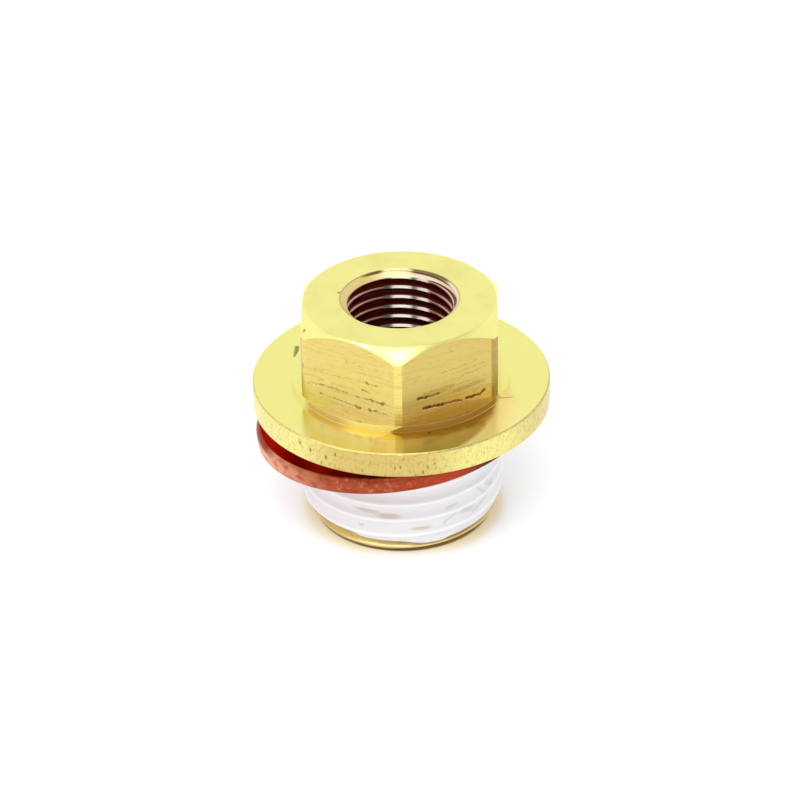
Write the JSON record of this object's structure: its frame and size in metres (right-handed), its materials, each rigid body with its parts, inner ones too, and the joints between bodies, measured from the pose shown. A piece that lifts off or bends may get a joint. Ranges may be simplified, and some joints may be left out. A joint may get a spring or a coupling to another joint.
{
  "type": "oil galley plug",
  "caption": "Brass hex head plug with a wide flange, taped male thread, tapped through hole and loose copper sealing washer",
  "frame": {"origin": "centre of the end face that the plug stands on, on the thread's axis", "axes": "+Z along the thread's axis towards the hex head; a corner of the hex lies within 2 degrees of -Y"},
  "size_m": [0.025, 0.025, 0.0202],
  "materials": {
    "brass": "satin",
    "copper": "satin",
    "tape": "satin"
  },
  "bodies": {
    "root": {"plug_body": "brass", "copper_washer": "copper", "thread_tape": "tape"}
  },
  "joints": []
}
